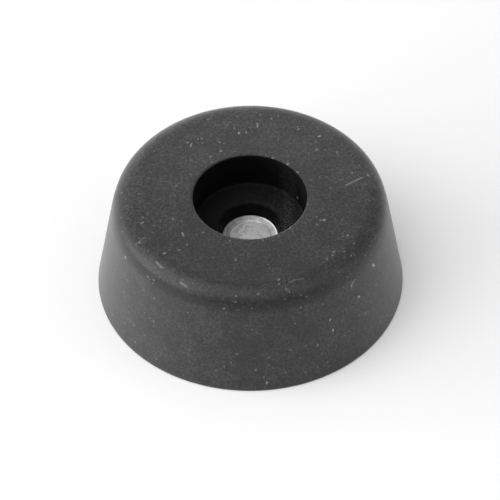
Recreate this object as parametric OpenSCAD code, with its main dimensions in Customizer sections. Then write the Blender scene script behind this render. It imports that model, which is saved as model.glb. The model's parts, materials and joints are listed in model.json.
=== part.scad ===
// Screw-on rubber foot with a moulded-in steel bush.
//
// A black rubber frustum stands on the bench or carries a case. A screw drops into the recess in the tread,
// passes through the bush and pulls the broad face against the case. The bush's flange lies under the floor
// of the recess and takes the clamping load, and its tube reaches down to the case, so the rubber is never
// crushed. Both pieces are bodies of revolution about Z, and z = 0 is the mounting face.

/* [Rubber body] */
// Diameter of the broad mounting face
base_d = 38; // [32:0.5:60]
// Height from the mounting face to the tread
height = 15; // [13:0.5:30]
// Lean of the flank towards the tread, in degrees
flank_draft = 8.4; // [0:0.2:15]
// Radius of the round between flank and tread
tread_edge_r = 2.5; // [0.5:0.1:4]
// Radius of the small round at the foot of the flank
base_edge_r = 0.2; // [0.1:0.05:1]

/* [Screw recess] */
// Diameter of the recess at the tread
recess_d = 14.1; // [12:0.1:20]
// Depth of the recess floor below the tread
recess_depth = 5; // [2:0.5:8]
// Lean of the recess wall, in degrees
recess_draft = 1.5; // [0:0.5:6]
// Radius of the round at the mouth of the recess
mouth_edge_r = 0.3; // [0.1:0.05:1]
// Radius of the fillet between the recess wall and its floor
recess_fillet_r = 0.3; // [0.2:0.1:1.2]
// Lean of the throat's wall, in degrees
throat_draft = 9; // [0:1:15]
// Radius of the round between the recess floor and the throat
throat_edge_r = 0.5; // [0.2:0.1:0.9]

/* [Steel bush] */
// Diameter of the bore, for the fixing screw
bore_d = 5; // [4:0.1:6.5]
// Wall thickness of the tube
tube_wall = 1; // [0.6:0.1:1.5]
// Diameter of the flange
flange_d = 14; // [11:0.5:20]
// Thickness of the flange
flange_t = 1.2; // [0.8:0.1:2]
// Radius of the rounded entry to the bore
entry_r = 0.15; // [0.1:0.05:0.6]
// Radius of the fillet between the tube and the flange
flange_fillet_r = 0.5; // [0.2:0.1:0.8]
// Radius of the broken edges of the flange and of the tube's lower end
bush_edge_r = 0.2; // [0.05:0.05:0.25]

/* [Fit of the bush in the rubber] */
// Thickness of the rubber between the recess floor and the flange
cover_t = 2.05; // [1:0.05:3.5]
// Width of the bare steel land between the entry of the bore and the rubber of the throat
bare_land = 0.75; // [0.2:0.05:1.2]
// Thickness of the bonding film between steel and rubber
bond_film = 0.02; // [0:0.01:0.05]

/* [Hidden] */
$fn = 180;

// Heights, from the mounting face up
floor_z = height - recess_depth;
flange_top_z = floor_z - cover_t;
flange_low_z = flange_top_z - flange_t;

// Radii, from the axis out
bore_r = bore_d / 2;
tube_r = bore_r + tube_wall;
flange_r = flange_d / 2;
throat_r = bore_r + entry_r + bare_land;
throat_mouth_r = throat_r + cover_t * tan(throat_draft);
recess_r = recess_d / 2;
recess_floor_r = recess_r - recess_depth * tan(recess_draft);
base_r = base_d / 2;
tread_r = base_r - height * tan(flank_draft);

// Each arc stands this much proud towards its corner, so that it crosses the straight edges cleanly
// where a true tangent would only touch them
arc_proud = 0.0005;
// How far the pieces that trim or fill a corner reach past its edges, as a multiple of their own size
corner_reach = 1.25;

function unit(v) = v / norm(v);

// What lies between the corner p of two straight edges, towards a and towards b, and an arc of radius r
// that rounds it. Taken away from an outer corner it rounds it, and added to an inner corner it fills it.
module corner_web(p, a, b, r) {
    to_a = unit(a - p);
    to_b = unit(b - p);
    inward = unit(to_a + to_b);
    half_angle = acos(to_a * to_b) / 2;
    tangent_length = r / tan(half_angle);
    centre = p + inward * (r / sin(half_angle) - arc_proud);
    kite = [[0, 0], p + to_a * tangent_length - centre, p - centre, p + to_b * tangent_length - centre];
    translate(centre) difference() {
        polygon(corner_reach * kite);
        circle(r);
    }
}

// A closed outline, listed anticlockwise as [[radius, height], corner radius] for each corner
module rounded_outline(corners) {
    n = len(corners);
    points = [for (corner = corners) corner[0]];
    before = [for (i = [0:n - 1]) points[(i + n - 1) % n]];
    after = [for (i = [0:n - 1]) points[(i + 1) % n]];
    rounded = [for (i = [0:n - 1]) if (corners[i][1] > 0) i];
    outer = [for (i = rounded) if (cross(points[i] - before[i], after[i] - points[i]) > 0) i];
    inner = [for (i = rounded) if (cross(points[i] - before[i], after[i] - points[i]) < 0) i];
    difference() {
        union() {
            polygon(points);
            for (i = inner) corner_web(points[i], after[i], before[i], corners[i][1]);
        }
        for (i = outer) corner_web(points[i], before[i], after[i], corners[i][1]);
    }
}

module rubber_body() {
    color([0.17, 0.17, 0.175]) rotate_extrude() rounded_outline([
        [[tube_r + bond_film, 0], 0],
        [[base_r, 0], base_edge_r],
        [[tread_r, height], tread_edge_r],
        [[recess_r, height], mouth_edge_r],
        [[recess_floor_r, floor_z], recess_fillet_r],
        [[throat_mouth_r, floor_z], throat_edge_r],
        [[throat_r, flange_top_z + bond_film], 0],
        [[flange_r + bond_film, flange_top_z + bond_film], bush_edge_r + bond_film],
        [[flange_r + bond_film, flange_low_z - bond_film], bush_edge_r + bond_film],
        [[tube_r + bond_film, flange_low_z - bond_film], flange_fillet_r - bond_film],
    ]);
}

module steel_bush() {
    color([0.72, 0.72, 0.73]) rotate_extrude() rounded_outline([
        [[bore_r, 0], bush_edge_r],
        [[tube_r, 0], bush_edge_r],
        [[tube_r, flange_low_z], flange_fillet_r],
        [[flange_r, flange_low_z], bush_edge_r],
        [[flange_r, flange_top_z], bush_edge_r],
        [[bore_r, flange_top_z], entry_r],
    ]);
}

rubber_body();
steel_bush();
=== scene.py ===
import json
import math

import bpy
from mathutils import Matrix, Vector


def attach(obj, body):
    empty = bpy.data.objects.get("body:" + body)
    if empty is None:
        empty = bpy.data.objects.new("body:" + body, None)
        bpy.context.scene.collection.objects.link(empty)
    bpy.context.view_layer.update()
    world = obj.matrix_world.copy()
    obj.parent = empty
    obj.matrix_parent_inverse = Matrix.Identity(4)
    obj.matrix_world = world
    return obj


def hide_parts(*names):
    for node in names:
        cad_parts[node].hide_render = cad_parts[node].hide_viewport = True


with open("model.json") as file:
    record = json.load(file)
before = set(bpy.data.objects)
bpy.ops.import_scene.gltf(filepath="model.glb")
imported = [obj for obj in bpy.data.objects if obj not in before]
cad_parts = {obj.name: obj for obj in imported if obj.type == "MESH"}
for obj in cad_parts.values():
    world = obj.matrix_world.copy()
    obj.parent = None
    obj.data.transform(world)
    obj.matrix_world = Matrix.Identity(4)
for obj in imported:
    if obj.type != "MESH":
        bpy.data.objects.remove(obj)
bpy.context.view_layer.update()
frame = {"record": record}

# ---- The rubber body -------------------------------------------------------------------------------------
# One black rubber moulding, pressed in a two-part mould round the steel bush and bonded to it: a low cone
# with a soft round at its tread, a recess for a screw head, and a throat that closes down on the bush. It
# lies on its broad mounting face, and its skin is slightly uneven, dull and dusty.

MM = 0.001
mounts = {mount["name"]: mount for mount in frame["record"]["mounts"]}
tread_z = mounts["tread_face"]["pos_m"][2]
seat_z = mounts["head_seat"]["pos_m"][2]
bore_r = mounts["screw_bore"]["dims"]["r_mm"] * MM

# A hair less than the solid's own 19 mm, so that the mesh stays inside its box
base_r = 18.995 * MM
flank_draft = math.radians(8.4)
shoulder_z = 12.2 * MM
shoulder_draft = math.radians(15)
shoulder_round = 12 * MM
tread_round = 2.5 * MM
foot_round = 0.2 * MM
recess_r = 7.05 * MM
recess_draft = math.radians(1.5)
mouth_round = 0.3 * MM
recess_fillet = 0.3 * MM
throat_draft = math.radians(9)
throat_round = 0.5 * MM
cover = 2.05 * MM
bond_film = 0.02 * MM

tube_wall = 1 * MM
flange_r = 7 * MM
flange_thickness = 1.2 * MM
flange_fillet = 0.5 * MM
bush_round = 0.2 * MM
entry_round = 0.15 * MM
bare_land = 0.75 * MM

flange_top = seat_z - cover
flange_low = flange_top - flange_thickness
tube_r = bore_r + tube_wall
throat_r = bore_r + entry_round + bare_land
shoulder_r = base_r - shoulder_z * math.tan(flank_draft)
tread_r = shoulder_r - (tread_z - shoulder_z) * math.tan(shoulder_draft)
recess_floor_r = recess_r - (tread_z - seat_z) * math.tan(recess_draft)
throat_mouth_r = throat_r + cover * math.tan(throat_draft)

# How finely an outline is drawn, the circle that it is swept round, and the angle from which an edge is sharp
seen_step = 0.3 * MM
arc_step = 0.25 * MM
fewest_arc_steps = 5
turning_circle_r = 1 * MM
sharp_edge = math.radians(35)

# The skin has shallow dips, which fade out towards its foot
dip_depth = 0.02 * MM
dips_to_the_metre = 220
even_foot = 0.5 * MM
dips_fade_over = 2 * MM


def half_section(corners):
    """The points of a closed outline. Each corner gives its radius, its height, the radius of its round, and
    how far apart the points lie on the straight stretch after it."""
    outline = []
    for i, (radius, height, round_r, spacing) in enumerate(corners):
        corner = Vector((radius, height))
        to_last = Vector(corners[i - 1][:2]) - corner
        to_next = Vector(corners[(i + 1) % len(corners)][:2]) - corner
        arc = [corner]
        if round_r:
            half = to_last.angle(to_next) / 2
            to_last.normalize()
            to_next.normalize()
            centre = corner + (to_last + to_next).normalized() * round_r / math.sin(half)
            start = corner + to_last * round_r / math.tan(half) - centre
            end = corner + to_next * round_r / math.tan(half) - centre
            turn = start.angle_signed(end)
            steps = max(fewest_arc_steps, round(abs(turn) * round_r / arc_step))
            arc = [centre + Matrix.Rotation(-turn * k / steps, 2) @ start for k in range(steps + 1)]
        outline.append((arc, spacing))
    points = []
    for i, (arc, spacing) in enumerate(outline):
        reach = outline[(i + 1) % len(outline)][0][0]
        parts = max(1, round((reach - arc[-1]).length / spacing))
        points += arc[:-1]
        points += [arc[-1].lerp(reach, k / parts) for k in range(parts)]
    return points


def new_node(tree, kind, inputs=(), **settings):
    """A node with its settings and its inputs, each input a value or another node's output."""
    node = tree.nodes.new(kind)
    for name, value in settings.items():
        setattr(node, name, value)
    for name, value in dict(inputs).items():
        if isinstance(value, bpy.types.NodeSocket):
            tree.links.new(value, node.inputs[name])
        else:
            node.inputs[name].default_value = value
    return node


def shade(tree, kind, inputs=(), **settings):
    """A new node of one of the shading kinds, some of which Geometry Nodes share."""
    return new_node(tree, "ShaderNode" + kind, inputs, **settings)


def math_of(tree, operation, first, second=0.0, clamped=False):
    node = shade(tree, "Math", {0: first, 1: second}, operation=operation, use_clamp=clamped)
    return node.outputs["Value"]


def product(tree, first, *others):
    for other in others:
        first = math_of(tree, "MULTIPLY", first, other)
    return first


def ramp(tree, value, start, end, low=0.0, high=1.0):
    """A value led smoothly from low to high as it goes from start to end."""
    limits = {"Value": value, "From Min": start, "From Max": end, "To Min": low, "To Max": high}
    return shade(tree, "MapRange", limits, interpolation_type="SMOOTHSTEP").outputs["Result"]


def passing(tree, share, first, second):
    """The first value passing into the second as the share goes from 0 to 1."""
    return shade(tree, "Mix", {0: share, 2: first, 3: second}, data_type="FLOAT").outputs[0]


def spread(tree, noise_value, half_range, low, high):
    """A noise, which lies round a half, led from low to high within this range to each side of the half."""
    return ramp(tree, noise_value, 0.5 - half_range, 0.5 + half_range, low, high)


def noise(tree, place, scale, detail, roughness):
    settings = {"Vector": place, "Scale": scale, "Detail": detail, "Roughness": roughness}
    return shade(tree, "TexNoise", settings).outputs["Fac"]


def turning_tree():
    """Geometry Nodes that turn a half section into a piece, with dips in its skin and a finish inside."""
    tree = bpy.data.node_groups.new("turned_piece", "GeometryNodeTree")
    for name, kind in (("Half section", "Geometry"), ("Steps around", "Int"), ("Dip of the skin", "Float"),
                       ("Dips to the metre", "Float"), ("Even up to height", "Float"),
                       ("Finish", "Material"), ("Inner finish", "Material"),
                       ("Inner radius", "Float"), ("Inner from height", "Float")):
        tree.interface.new_socket(name, in_out="INPUT", socket_type="NodeSocket" + kind)
    tree.interface.new_socket("Turned piece", in_out="OUTPUT", socket_type="NodeSocketGeometry")
    given = tree.nodes.new("NodeGroupInput").outputs
    outline = new_node(tree, "GeometryNodeMeshToCurve", {"Mesh": given["Half section"]}).outputs["Curve"]
    circle = new_node(tree, "GeometryNodeCurvePrimitiveCircle",
                      {"Resolution": given["Steps around"], "Radius": turning_circle_r}).outputs["Curve"]
    sweep = new_node(tree, "GeometryNodeCurveToMesh", {"Curve": circle, "Profile Curve": outline})
    outwards = new_node(tree, "GeometryNodeFlipFaces", {"Mesh": sweep.outputs["Mesh"]}).outputs["Mesh"]

    place = new_node(tree, "GeometryNodeInputPosition").outputs["Position"]
    height = shade(tree, "SeparateXYZ", {"Vector": place}).outputs["Z"]
    dips = shade(tree, "TexNoise", {"Scale": given["Dips to the metre"], "Detail": 2}).outputs["Fac"]
    above_foot = math_of(tree, "SUBTRACT", height, given["Even up to height"])
    amount = product(tree, dips, given["Dip of the skin"], ramp(tree, above_foot, 0, dips_fade_over), -1.0)
    normal = new_node(tree, "GeometryNodeInputNormal").outputs["Normal"]
    offset = shade(tree, "VectorMath", {0: normal, "Scale": amount}, operation="SCALE").outputs["Vector"]
    uneven = new_node(tree, "GeometryNodeSetPosition", {"Geometry": outwards, "Offset": offset})

    across = shade(tree, "VectorMath", {0: place, 1: (1, 1, 0)}, operation="MULTIPLY").outputs["Vector"]
    from_axis = shade(tree, "VectorMath", {0: across}, operation="LENGTH").outputs["Value"]
    inside = new_node(tree, "FunctionNodeCompare", {"A": from_axis, "B": given["Inner radius"]},
                      operation="LESS_THAN").outputs["Result"]
    high_up = new_node(tree, "FunctionNodeCompare", {"A": height, "B": given["Inner from height"]},
                       operation="GREATER_THAN").outputs["Result"]
    both = new_node(tree, "FunctionNodeBooleanMath", {0: inside, 1: high_up},
                    operation="AND").outputs["Boolean"]
    real = new_node(tree, "GeometryNodeRealizeInstances", {"Geometry": uneven.outputs["Geometry"]})
    finish = new_node(tree, "GeometryNodeSetMaterial",
                      {"Geometry": real.outputs["Geometry"], "Material": given["Finish"]})
    inner_finish = new_node(tree, "GeometryNodeSetMaterial",
                            {"Geometry": finish.outputs["Geometry"], "Selection": both,
                             "Material": given["Inner finish"]})
    out = tree.nodes.new("NodeGroupOutput")
    tree.links.new(inner_finish.outputs["Geometry"], out.inputs["Turned piece"])
    return tree


turning = turning_tree()


def turn_piece(name, corners, inputs):
    """A plain mesh turned from the corners of its half section, with these inputs of the turning tree."""
    points = half_section(corners)
    # The sweep lays the outline's x outwards from the circle, and its y downwards
    places = [(point.x - turning_circle_r, -point.y, 0) for point in points]
    edges = [(i, (i + 1) % len(points)) for i in range(len(points))]
    mesh = bpy.data.meshes.new(name)
    mesh.from_pydata(places, edges, [])
    piece = bpy.data.objects.new(name, mesh)
    bpy.context.scene.collection.objects.link(piece)
    modifier = piece.modifiers.new("turning", "NODES")
    modifier.node_group = turning
    socket = {item.name: item.identifier for item in turning.interface.items_tree}
    for input_name, value in inputs.items():
        modifier[socket[input_name]] = value
    shown = piece.evaluated_get(bpy.context.evaluated_depsgraph_get())
    turned = bpy.data.meshes.new_from_object(shown)
    piece.modifiers.clear()
    piece.data = turned
    turned.shade_smooth()
    turned.set_sharp_from_angle(angle=sharp_edge)
    return piece


# The tones of the rubber outside and in the recess, which is painted darker as painted shade, and of the dust
# on it
outer_black = 0.004
recess_black_in_shade = 0.002
dust_grey = 0.45
rubber_ior = 1.5

# The share of the skin under the film of dust, what the wear and the painted highlight of the round add to
# it, and the grain's height
film_of_dust = 0.066
least_wear_and_highlight = 0.023
most_wear_and_highlight = 0.038
skin_relief = 0.004 * MM

# The recess is painted with far less of the pale film than the outside, as painted shade, and one piece of
# grit clings to its wall
recess_dust_and_shade = 0.01
recess_relief = 0.02 * MM
grit_place = Vector((5.87, 3.66, 10.85)) * MM
recess_skin_r = recess_r + 0.06 * MM

# Heights between which the skin of the flank passes into that of the tread, and the band below the round that
# is painted darkest, as painted shade
flank_skin_z = tread_z - 2 * MM
tread_skin_z = tread_z - 0.5 * MM
darkest_z = 13.1 * MM


def start_finish(name, settings):
    """A new material, its node tree and the inputs of its surface. The settings are the same all over it."""
    material = bpy.data.materials.new(name)
    material.use_nodes = True
    surface = material.node_tree.nodes["Principled BSDF"].inputs
    for input_name, value in settings.items():
        surface[input_name].default_value = value
    return material, material.node_tree, surface


def distance_from_axis(tree, x, y):
    return math_of(tree, "SQRT", math_of(tree, "ADD", product(tree, x, x), product(tree, y, y)))


def dusted(tree, black, dust_and_shade):
    """Black rubber under this share of pale dust, which carries painted light and shade too."""
    under = (black, black, black, 1)
    over = (dust_grey, dust_grey, dust_grey, 1)
    return shade(tree, "Mix", {0: dust_and_shade, 6: under, 7: over}, data_type="RGBA").outputs[2]


def bumped(tree, relief, depth):
    return shade(tree, "Bump", {"Height": relief, "Strength": 1.0, "Distance": depth}).outputs["Normal"]


def mark_group():
    """How strongly a scuff or a speck shows: fully on the line between its ends, not past its half width."""
    tree = bpy.data.node_groups.new("mark", "ShaderNodeTree")
    for name in ("Place", "Start", "Run"):
        tree.interface.new_socket(name, in_out="INPUT", socket_type="NodeSocketVector")
    for name in ("Half width", "Strength"):
        tree.interface.new_socket(name, in_out="INPUT", socket_type="NodeSocketFloat")
    tree.interface.new_socket("Shows", in_out="OUTPUT", socket_type="NodeSocketFloat")
    given = tree.nodes.new("NodeGroupInput").outputs
    run = given["Run"]
    ends = {0: given["Place"], 1: given["Start"]}
    from_start = shade(tree, "VectorMath", ends, operation="SUBTRACT").outputs[0]
    along = shade(tree, "VectorMath", {0: from_start, 1: run}, operation="DOT_PRODUCT").outputs["Value"]
    length_2 = shade(tree, "VectorMath", {0: run, 1: run}, operation="DOT_PRODUCT").outputs["Value"]
    share = math_of(tree, "DIVIDE", along, length_2, clamped=True)
    nearest = shade(tree, "VectorMath", {0: run, "Scale": share}, operation="SCALE").outputs[0]
    away = shade(tree, "VectorMath", {0: from_start, 1: nearest}, operation="DISTANCE").outputs["Value"]
    near = math_of(tree, "SUBTRACT", 1.0, math_of(tree, "DIVIDE", away, given["Half width"]), clamped=True)
    out = tree.nodes.new("NodeGroupOutput")
    tree.links.new(product(tree, ramp(tree, near, 0, 0.7), given["Strength"]), out.inputs["Shows"])
    return tree


def on_tread(across, back):
    """A point of the tread, in mm to the right of the axis and behind it."""
    return Vector((across * MM, back * MM, tread_z))


def on_flank(degrees, height):
    """A point of the flank or of its round, at an angle from +X and a height in mm above the table."""
    height *= MM
    out = base_r - height * math.tan(flank_draft)
    if height > shoulder_z:
        out = shoulder_r - (height - shoulder_z) * math.tan(shoulder_draft)
    above_centre = height - (tread_z - tread_round)
    if above_centre > tread_round * math.sin(shoulder_draft):
        centre_r = tread_r - tread_round / math.tan(math.pi / 4 + shoulder_draft / 2)
        out = centre_r + math.sqrt(tread_round ** 2 - above_centre ** 2)
    angle = math.radians(degrees)
    return Vector((out * math.cos(angle), out * math.sin(angle), height))


# Scuffs, lint and grit: start, end, half width in mm, and strength
marks = [
    (on_tread(11.9, 1.8), on_tread(13.9, 3.1), 0.17, 0.31),
    (on_tread(12.6, 2.4), on_tread(13.4, 2.8), 0.10, 0.16),
    (on_flank(13.5, 14.92), on_flank(13.9, 14.94), 0.22, 0.55),
    (on_flank(-152.0, 14.5), on_flank(-152.3, 14.9), 0.14, 0.20),
    (on_tread(-13.6, -7.1), on_tread(-12.9, -6.7), 0.12, 0.20),
    (on_tread(-13.9, -6.7), on_tread(-13.7, -6.6), 0.12, 0.16),
    (on_flank(-151.5, 14.75), on_flank(-151.2, 14.8), 0.16, 0.32),
    (on_flank(-137.5, 14.7), on_flank(-133.6, 14.6), 0.20, 0.28),
    (on_flank(-122.1, 14.3), on_flank(-118.9, 14.2), 0.22, 0.26),
    (on_flank(-71.5, 14.9), on_flank(-68.6, 14.94), 0.18, 0.14),
    (on_flank(-68.6, 14.94), on_flank(-65.0, 14.89), 0.19, 0.09),
    (on_flank(-74.2, 14.64), on_flank(-73.2, 14.47), 0.18, 0.18),
    (on_flank(-154.3, 12.0), on_flank(-154.1, 12.3), 0.20, 0.55),
    (on_tread(-7.3, 8.7), on_tread(-7.2, 9.1), 0.16, 0.50),
    (on_tread(-1.3, 10.8), on_tread(-1.3, 10.95), 0.18, 0.62),
    (on_tread(-0.4, 10.9), on_tread(-0.4, 11.1), 0.16, 0.34),
    (on_tread(-1.9, 11.7), on_tread(-1.9, 11.8), 0.15, 0.36),
    (on_tread(-2.9, 12.2), on_tread(-2.7, 12.3), 0.14, 0.26),
    (on_tread(1.0, 11.9), on_tread(1.0, 12.5), 0.15, 0.45),
    (on_tread(6.0, 11.4), on_tread(6.1, 11.5), 0.18, 0.40),
    (on_tread(8.6, 10.2), on_tread(8.8, 10.3), 0.19, 0.55),
    (on_tread(8.3, 7.9), on_tread(8.4, 8.0), 0.18, 0.36),
    (on_tread(10.8, 7.4), on_tread(10.9, 7.6), 0.14, 0.30),
    (on_tread(9.1, -4.1), on_tread(9.2, -4.0), 0.20, 0.70),
    (on_tread(10.2, -9.5), on_tread(10.4, -9.4), 0.16, 0.34),
    (on_flank(-38.4, 14.62), on_flank(-38.0, 14.66), 0.16, 0.36),
    (on_flank(-29.1, 11.45), on_flank(-28.2, 11.12), 0.25, 1.00),
    (on_flank(-41.1, 9.15), on_flank(-40.6, 8.95), 0.22, 0.85),
    (on_flank(-41.8, 12.05), on_flank(-43.9, 11.65), 0.16, 0.48),
    (on_flank(-43.9, 11.6), on_flank(-43.9, 11.45), 0.24, 0.60),
    (on_flank(-56.7, 8.4), on_flank(-56.3, 8.5), 0.20, 0.62),
    (on_flank(-55.8, 6.5), on_flank(-55.7, 6.7), 0.20, 0.80),
    (on_flank(-63.3, 5.3), on_flank(-63.1, 5.5), 0.17, 0.45),
    (on_flank(-69.1, 12.0), on_flank(-68.9, 12.1), 0.15, 0.36),
    (on_flank(-84.2, 1.2), on_flank(-84.1, 1.4), 0.19, 0.60),
    (on_flank(-88.3, 3.3), on_flank(-88.2, 3.5), 0.15, 0.32),
    (on_flank(-38.3, 5.9), on_flank(-36.0, 5.4), 0.08, 0.32),
    (on_tread(3.4, -14.1), on_tread(3.5, -14.0), 0.18, 0.46),
    (on_tread(-3.6, 7.8), on_tread(-3.5, 7.9), 0.19, 0.60),
    (on_tread(-4.9, 6.8), on_tread(-4.8, 7.0), 0.16, 0.36),
    (on_tread(-13.4, -4.4), on_tread(-13.3, -4.2), 0.20, 0.38),
    (on_tread(-9.6, -3.7), on_tread(-9.5, -3.6), 0.17, 0.38),
    (on_tread(-8.4, -6.0), on_tread(-8.2, -6.6), 0.14, 0.50),
    (on_tread(-10.7, -9.5), on_tread(-10.5, -9.4), 0.19, 0.50),
    (on_tread(-8.9, -9.0), on_tread(-8.7, -8.9), 0.15, 0.34),
    (on_tread(4.7, 5.5), on_tread(4.8, 5.6), 0.16, 0.45),
    (on_tread(5.9, 4.2), on_tread(6.0, 4.1), 0.16, 0.40),
    (on_tread(2.0, 7.1), on_tread(2.1, 7.1), 0.14, 0.25),
    (on_tread(7.1, -1.3), on_tread(7.2, -1.4), 0.15, 0.30),
]


def rubber_finish():
    material, tree, skin = start_finish("black_rubber", {
        "IOR": rubber_ior, "Specular IOR Level": 0.2, "Sheen Weight": 0.37, "Sheen Roughness": 0.5})
    place = shade(tree, "TexCoord").outputs["Object"]
    x, y, z = shade(tree, "SeparateXYZ", {"Vector": place}).outputs
    from_axis = distance_from_axis(tree, x, y)

    # Dust clings to the skin in a blotchy film, with a grain and a finer grain in it
    film = noise(tree, place, 300, 4, 0.7)
    grain = noise(tree, place, 2400, 3, 0.85)
    fine = noise(tree, place, 6500, 2, 0.8)
    haze = product(tree, spread(tree, film, 0.15, 0.65, 1.35), spread(tree, grain, 0.12, 0.3, 1.7),
                   spread(tree, fine, 0.18, 0.25, 1.75))
    # It lies more unevenly on the front of the tread, and on the right of the flank its blotches are
    # strengthened as painted shading of the grain under glancing light from the left
    flank_grain_and_shading = ramp(tree, x, 6 * MM, 16 * MM, 0.8, 1.4)
    on_tread_uneven = ramp(tree, y, -6 * MM, 10 * MM, 1.35, 0.75)
    on_top = ramp(tree, z, tread_skin_z, tread_z - 0.1 * MM)
    uneven = passing(tree, on_top, flank_grain_and_shading, on_tread_uneven)
    haze = math_of(tree, "ADD", product(tree, math_of(tree, "SUBTRACT", haze, 1.0), uneven), 1.0)
    haze = math_of(tree, "MAXIMUM", haze, 0.0)
    # It is painted darker towards the front of the tread and darkest in a band below the round, both as
    # painted shade, and it fades towards the mouth of the recess
    painted_front_shade = ramp(tree, y, -15 * MM, 14 * MM, 0.3, 0.98)
    from_the_band = math_of(tree, "ABSOLUTE", math_of(tree, "SUBTRACT", z, darkest_z))
    painted_band_shade = ramp(tree, from_the_band, 0.3 * MM, 1.1 * MM, 0.25, 0.65)
    dust_and_painted_shade = passing(tree, ramp(tree, z, flank_skin_z, tread_skin_z), painted_band_shade, painted_front_shade)
    rim = ramp(tree, from_axis, recess_r, recess_r + 0.4 * MM, 0.3, 1.0)
    below_the_rim = ramp(tree, z, flank_skin_z, tread_z - 1 * MM, 1.0, 0.0)
    rim = math_of(tree, "MAXIMUM", rim, below_the_rim)
    dust_and_shade = product(tree, haze, dust_and_painted_shade, product(tree, rim, film_of_dust))

    # The round of the tread is paler at the front, most of all on the left: partly wear, partly a painted
    # highlight of the lamps on the left
    on_the_round = product(tree, ramp(tree, z, tread_z - 1.6 * MM, tread_z - 0.6 * MM),
                           ramp(tree, from_axis, base_r - 4.2 * MM, base_r - 2.8 * MM))
    in_front = product(tree, ramp(tree, y, -12 * MM, -4.5 * MM, 1.0, 0.0),
                       ramp(tree, x, -9 * MM, -3 * MM, 2.4, 1.5), ramp(tree, x, 7 * MM, 14 * MM, 1.0, 0.3))
    wear_and_highlight = product(tree, on_the_round, in_front, spread(tree, grain, 0.2, least_wear_and_highlight, most_wear_and_highlight))

    # Specks of dust, and fewer bigger grains: cells to the metre, the greatest size of a grain in its cell,
    # the share of the cells that hold one, and how much it shows
    grains = 0.0
    for cells, size, share, strength in ((2600, 0.40, 0.20, 0.09), (1500, 0.32, 0.42, 0.22)):
        cell = shade(tree, "TexVoronoi", {"Vector": place, "Scale": cells, "Randomness": 1.0}).outputs
        chosen = shade(tree, "SeparateColor", {"Color": cell["Color"]}).outputs
        inside = math_of(tree, "SUBTRACT", product(tree, chosen["Green"], size), cell["Distance"])
        dot = product(tree, math_of(tree, "LESS_THAN", chosen["Red"], share),
                      ramp(tree, inside, 0, size * 0.4, 0, strength))
        grains = math_of(tree, "ADD", dot, grains)

    # Scuffs and lint, ragged and broken up
    wander = shade(tree, "TexNoise", {"Vector": place, "Scale": 7000, "Detail": 1}).outputs
    centred = shade(tree, "VectorMath", {0: wander["Color"], 1: (0.5, 0.5, 0.5)},
                    operation="SUBTRACT").outputs[0]
    shift = shade(tree, "VectorMath", {0: centred, "Scale": 0.15 * MM}, operation="SCALE").outputs[0]
    ragged = shade(tree, "VectorMath", {0: place, 1: shift}, operation="ADD").outputs[0]
    group = mark_group()
    scuffs = 0.0
    for start, end, half_width, strength in marks:
        mark = shade(tree, "Group", {"Place": ragged, "Start": start, "Run": end - start,
                                     "Half width": half_width * MM, "Strength": strength}, node_tree=group)
        scuffs = math_of(tree, "MAXIMUM", mark.outputs["Shows"], scuffs)
    broken = product(tree, scuffs, ramp(tree, wander["Fac"], 0.35, 0.6, 0.5, 1.0))

    pale = math_of(tree, "ADD", dust_and_shade, wear_and_highlight)
    pale = math_of(tree, "ADD", pale, math_of(tree, "MAXIMUM", broken, grains), clamped=True)
    dullness = ramp(tree, math_of(tree, "ADD", pale, product(tree, grain, 0.2)), 0, 0.6, 0.42, 0.75)
    relief = math_of(tree, "ADD", product(tree, grain, 0.5), product(tree, grains, 2.0))
    tree.links.new(dusted(tree, outer_black, pale), skin["Base Color"])
    tree.links.new(dullness, skin["Roughness"])
    tree.links.new(bumped(tree, relief, skin_relief), skin["Normal"])
    return material


def recess_finish():
    """The skin of the recess and the throat: painted blacker and less glossy than the outside, as painted
    shade, with a little dust on it.
    """
    material, tree, skin = start_finish("recess_rubber_painted_dark", {
        "IOR": rubber_ior, "Specular IOR Level": 0.08})
    place = shade(tree, "TexCoord").outputs["Object"]
    x, y, z = shade(tree, "SeparateXYZ", {"Vector": place}).outputs
    film = noise(tree, place, 700, 5, 0.7)
    grain = noise(tree, place, 4500, 3, 0.85)

    # Dust has settled on the floor of the recess and clings to the wall on the right. It is painted paler to
    # the right and front right, darker to the left, and paler at the foot of the wall: partly dust, partly
    # painted light from the lamps on the left
    on_floor = ramp(tree, z, seat_z + 0.05 * MM, seat_z + 0.5 * MM, 1.0, 0.0)
    on_wall = product(tree, ramp(tree, x, 3.2 * MM, 4.5 * MM, 0.1, 1.0),
                      ramp(tree, x, 4.9 * MM, 6.1 * MM, 1.0, 0.2),
                      ramp(tree, z, seat_z + 0.3 * MM, seat_z + 4.5 * MM, 1.7, 0.65))
    above_throat = ramp(tree, z, seat_z - 0.5 * MM, seat_z - 0.1 * MM, 0.0, 1.0)
    settled = product(tree, math_of(tree, "MAXIMUM", on_floor, on_wall), above_throat)
    front_right = product(tree, ramp(tree, x, 0.5 * MM, 4.5 * MM, 0.0, 2.0),
                          ramp(tree, y, 2 * MM, 6 * MM, 1.0, 0.2))
    sideways = math_of(tree, "ADD", ramp(tree, x, -5 * MM, 1.2 * MM, 0.15, 1.0), front_right)
    uneven = product(tree, spread(tree, film, 0.15, 0.7, 1.3), spread(tree, grain, 0.09, 0.0, 2.0))
    dust_and_shade = product(tree, settled, sideways, product(tree, uneven, recess_dust_and_shade))

    away = shade(tree, "VectorMath", {0: place, 1: grit_place}, operation="DISTANCE").outputs["Value"]
    grit = ramp(tree, away, 0.08 * MM, 0.24 * MM, 0.5, 0.0)
    pale = math_of(tree, "ADD", dust_and_shade, grit, clamped=True)
    tree.links.new(dusted(tree, recess_black_in_shade, pale), skin["Base Color"])
    tree.links.new(spread(tree, film, 0.2, 0.55, 0.8), skin["Roughness"])
    tree.links.new(bumped(tree, film, recess_relief), skin["Normal"])
    return material


rubber = rubber_finish()
recess_rubber_in_shade = recess_finish()

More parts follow.
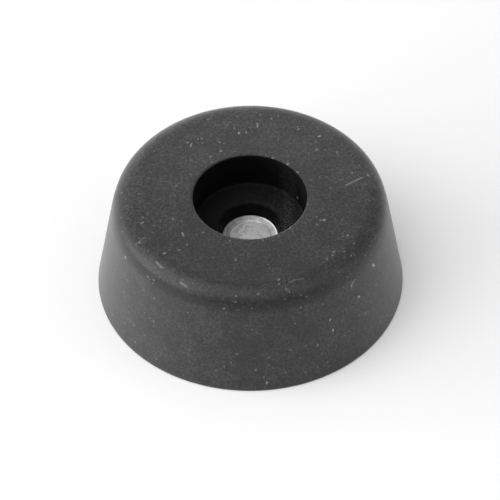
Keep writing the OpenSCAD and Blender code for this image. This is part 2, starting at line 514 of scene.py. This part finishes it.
foot = turn_piece("rubber_foot", [
    (tube_r + bond_film, 0, 0, 4 * MM),
    (base_r, 0, foot_round, seen_step),
    (shoulder_r, shoulder_z, shoulder_round, seen_step),
    (tread_r, tread_z, tread_round, seen_step),
    (recess_r, tread_z, mouth_round, seen_step),
    (recess_floor_r, seat_z, recess_fillet, seen_step),
    (throat_mouth_r, seat_z, throat_round, seen_step),
    (throat_r, flange_top + bond_film, 0, 2 * MM),
    (flange_r + bond_film, flange_top + bond_film, bush_round + bond_film, 1 * MM),
    (flange_r + bond_film, flange_low - bond_film, bush_round + bond_film, 2 * MM),
    (tube_r + bond_film, flange_low - bond_film, flange_fillet - bond_film, 2 * MM),
], {
    "Steps around": 360,
    "Dip of the skin": dip_depth,
    "Dips to the metre": dips_to_the_metre,
    "Even up to height": even_foot,
    "Finish": rubber,
    "Inner finish": recess_rubber_in_shade,
    "Inner radius": recess_skin_r,
    "Inner from height": even_foot,
})
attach(foot, "root")
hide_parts("rubber_body")

# ---- The steel bush --------------------------------------------------------------------------------------
# A bush turned from free-cutting steel: a flange that spreads the load of the screw head under the floor of
# the recess, and a tube that reaches down to the mounting face so that the rubber is never crushed.
# It is put in the mould before the rubber is pressed. Only its bore and a narrow land round it stay bare.

land_groove_r = bore_r + 0.45 * MM
land_sag = 0.04 * MM
lip_r = throat_r - 0.2 * MM
lip_height = 0.035 * MM
lip_top_r = throat_r - 0.03 * MM
lip_end_r = throat_r - 0.01 * MM
lip_round = 0.02 * MM
lip_foot_round = 0.3 * MM
groove_round = 0.5 * MM
steel_relief = 0.012 * MM

# Zones of the bore and the land, from the axis out: where each starts, and its tone on the left, painted
# darker as the shade of the recess's left rim, and on the right, painted brighter as light from the lamps on
# the left
tones = [
    (0, 0.78, 1.15),
    (bore_r + 0.02 * MM, 0.28, 0.42),
    (bore_r + 0.13 * MM, 0.26, 0.6),
    (land_groove_r - 0.06 * MM, 0.18, 0.6),
    (land_groove_r + 0.06 * MM, 0.32, 0.72),
    (lip_r, 0.28, 0.5),
]
tone_edge = 0.03 * MM


def steel_finish():
    material, tree, metal = start_finish("bright_steel", {"Metallic": 1})
    place = shade(tree, "TexCoord").outputs["Object"]
    x, y, z = shade(tree, "SeparateXYZ", {"Vector": place}).outputs
    from_axis = distance_from_axis(tree, x, y)
    # The tool leaves fine rings on the face and down the bore: the noise changes along the section only
    section = shade(tree, "CombineXYZ", {"X": from_axis, "Z": z}).outputs["Vector"]
    rings = noise(tree, section, 4500, 3, 0.7)
    blotches = noise(tree, place, 1500, 4, 0.7)

    painted_light_side = ramp(tree, x, -3.2 * MM, 1.6 * MM)
    shine_and_painted_light = 0.0
    for start, shaded_left_tone, bright in tones:
        zone = ramp(tree, from_axis, start - tone_edge, start + tone_edge)
        shine_and_painted_light = passing(tree, zone, shine_and_painted_light, ramp(tree, painted_light_side, 0, 1, shaded_left_tone, bright))
    # A painted highlight on the lip at the right, and a painted glint on the entry of the bore at the front
    # and at the back
    painted_lip_highlight = product(tree, ramp(tree, from_axis, lip_r, lip_r + 0.04 * MM),
                     ramp(tree, x, 0.8 * MM, 2.4 * MM, 0.0, 0.75))
    sideways = math_of(tree, "ABSOLUTE", math_of(tree, "SUBTRACT", x, 0.4 * MM))
    painted_entry_glint = product(tree, ramp(tree, from_axis, bore_r + 0.10 * MM, bore_r + 0.14 * MM, 1.0, 0.0),
                    ramp(tree, from_axis, bore_r + 0.005 * MM, bore_r + 0.02 * MM),
                    ramp(tree, sideways, 0.5 * MM, 1.6 * MM, 0.35, 0.0))
    shine_and_painted_light = math_of(tree, "ADD", shine_and_painted_light, math_of(tree, "ADD", painted_lip_highlight, painted_entry_glint))
    uneven = product(tree, spread(tree, rings, 0.15, 0.8, 1.1), spread(tree, blotches, 0.15, 0.8, 1.12))
    grey = math_of(tree, "MULTIPLY", shine_and_painted_light, uneven, clamped=True)
    colour = shade(tree, "CombineColor", {"Red": grey, "Green": grey, "Blue": grey}).outputs["Color"]
    tree.links.new(colour, metal["Base Color"])

    # It is duller towards the entry of the bore and on the land than deep down
    duller = ramp(tree, z, 4.9 * MM, 5.4 * MM, 0.0, 0.12)
    dullness = math_of(tree, "ADD", spread(tree, rings, 0.2, 0.55, 0.7), duller)
    tree.links.new(dullness, metal["Roughness"])
    tree.links.new(bumped(tree, math_of(tree, "ADD", rings, blotches), steel_relief), metal["Normal"])
    return material


steel = steel_finish()

bush = turn_piece("steel_bush_turned", [
    (bore_r, 0, bush_round, 2 * MM),
    (tube_r, 0, bush_round, 2 * MM),
    (tube_r, flange_low, flange_fillet, 2 * MM),
    (flange_r, flange_low, bush_round, 1 * MM),
    (flange_r, flange_top, bush_round, 2 * MM),
    (lip_end_r, flange_top, 0, 1 * MM),
    (lip_top_r, flange_top + lip_height, lip_round, 1 * MM),
    (lip_r, flange_top, lip_foot_round, 1 * MM),
    (land_groove_r, flange_top, groove_round, 1 * MM),
    (bore_r, flange_top - land_sag, entry_round, 0.4 * MM),
], {
    "Steps around": 240,
    "Finish": steel,
    "Inner finish": steel,
})
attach(bush, "root")
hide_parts("steel_bush")

# ---- The studio ------------------------------------------------------------------------------------------
# A white table under an even white tent, with round soft boxes a metre away. Most of them stand to the left,
# and the room outside the tent is dark.

table_reach = 3
table_white = 0.93
table_glow = 0.08
tent_light = 0.4
tent_seen = 1.0
room_tone = 0.01

# Each opening of the tent: where it starts and ends, in degrees from the front, anticlockwise seen from
# above, and its height. The first is in front, below the camera, and the second is at the back right.
opening_distance = 1.15
opening_step = 5
openings = [
    (-50, 50, 0.66),
    (95, 160, 0.3),
]

# Each lamp: how far it is turned from the front, anticlockwise seen from above, and raised above the table,
# in degrees, its width and height, and its power in watts
soft_boxes = [
    (-90, 10, 0.9, 0.34, 6.4),
    (-55, 14, 0.6, 0.45, 2.5),
    (-60, 62, 1.1, 1.1, 4.6),
    (0, 90, 1.1, 1.1, 1.8),
    (75, 12, 0.6, 0.4, 1.0),
]


def seen_directly(tree):
    """1 to the camera and in mirror-like surfaces and glass, 0 to the light that is scattered."""
    rays = shade(tree, "LightPath").outputs
    mirrored = math_of(tree, "MAXIMUM", rays["Is Glossy Ray"], rays["Is Transmission Ray"])
    return math_of(tree, "MAXIMUM", rays["Is Camera Ray"], mirrored)


def stage_piece(name, places, faces, material):
    mesh = bpy.data.meshes.new(name)
    mesh.from_pydata(places, [], faces)
    piece = bpy.data.objects.new(name, mesh)
    bpy.context.scene.collection.objects.link(piece)
    mesh.materials.append(material)
    return piece


def heading(turned, raised=0.0):
    """The direction that is turned from the front and raised above the table by these angles, in degrees."""
    turned = math.radians(turned)
    raised = math.radians(raised)
    level = math.cos(raised)
    return Vector((math.sin(turned) * level, -math.cos(turned) * level, math.sin(raised)))


white, white_tree, white_surface = start_finish("white_table", {
    "Base Color": (table_white, table_white, table_white, 1), "Roughness": 0.9,
    "Emission Color": (1, 1, 1, 1)})
# It looks a little whiter than it lights, and it keeps the shadow of the foot
whiter = product(white_tree, seen_directly(white_tree), table_glow)
white_tree.links.new(whiter, white_surface["Emission Strength"])
table_corners = [(-table_reach, -table_reach, 0), (table_reach, -table_reach, 0),
                 (table_reach, table_reach, 0), (-table_reach, table_reach, 0)]
stage_piece("floor", table_corners, [(0, 1, 2, 3)], white)

tent = bpy.data.worlds.new("tent")
bpy.context.scene.world = tent
tent.use_nodes = True
cloth = tent.node_tree.nodes["Background"].inputs
cloth["Color"].default_value = (1, 1, 1, 1)
strength = ramp(tent.node_tree, seen_directly(tent.node_tree), 0, 1, tent_light, tent_seen)
tent.node_tree.links.new(strength, cloth["Strength"])

dark, _, _ = start_finish("dark_room", {
    "Base Color": (room_tone, room_tone, room_tone, 1), "Roughness": 0.9})
for first, last, height in openings:
    edge = [heading(turned) * opening_distance for turned in range(first, last + 1, opening_step)]
    places = [(point.x, point.y, z) for z in (0, height) for point in edge]
    faces = [(i, i + 1, i + 1 + len(edge), i + len(edge)) for i in range(len(edge) - 1)]
    stage_piece("dark_opening", places, faces, dark).visible_camera = False

for turned, raised, width, height, watts in soft_boxes:
    lamp_data = bpy.data.lights.new("soft_box", "AREA")
    lamp_data.shape = "ELLIPSE"
    lamp_data.size = width
    lamp_data.size_y = height
    lamp_data.energy = watts
    lamp = bpy.data.objects.new("soft_box", lamp_data)
    to_lamp = heading(turned, raised)
    lamp.matrix_world = Matrix.Translation(to_lamp) @ to_lamp.to_track_quat("Z", "Y").to_matrix().to_4x4()
    lamp.visible_camera = False
    bpy.context.scene.collection.objects.link(lamp)

# ---- The camera ------------------------------------------------------------------------------------------
# A long lens, well back, looking down on the foot. Angles are in degrees, the lens and its sensor in mm, and
# the place of the foot in the picture in pixels.

elevation = math.radians(46.96)
roll = math.radians(-0.45)
distance = 1.5
lens = 869.4
sensor = 36
picture_width_px = 500
axis_right_of_centre_px = 0.35
middle_above_centre_px = 12

middle = Vector((0, 0, tread_z / 2))
backwards = Vector((0, -math.cos(elevation), math.sin(elevation)))
right = Vector((1, 0, 0))
up = Vector((0, math.sin(elevation), math.cos(elevation)))
pixel = sensor / picture_width_px * distance / lens
aim = middle - right * axis_right_of_centre_px * pixel - up * middle_above_centre_px * pixel
camera_data = bpy.data.cameras.new("camera")
camera_data.lens = lens
camera_data.sensor_width = sensor
camera_data.clip_end = 10
camera = bpy.data.objects.new("camera", camera_data)
turn = Matrix((right, up, backwards)).transposed() @ Matrix.Rotation(roll, 3, "Z")
camera.matrix_world = Matrix.Translation(aim + backwards * distance) @ turn.to_4x4()
bpy.context.scene.collection.objects.link(camera)
bpy.context.scene.camera = camera
bpy.context.scene.view_settings.view_transform = "Standard"
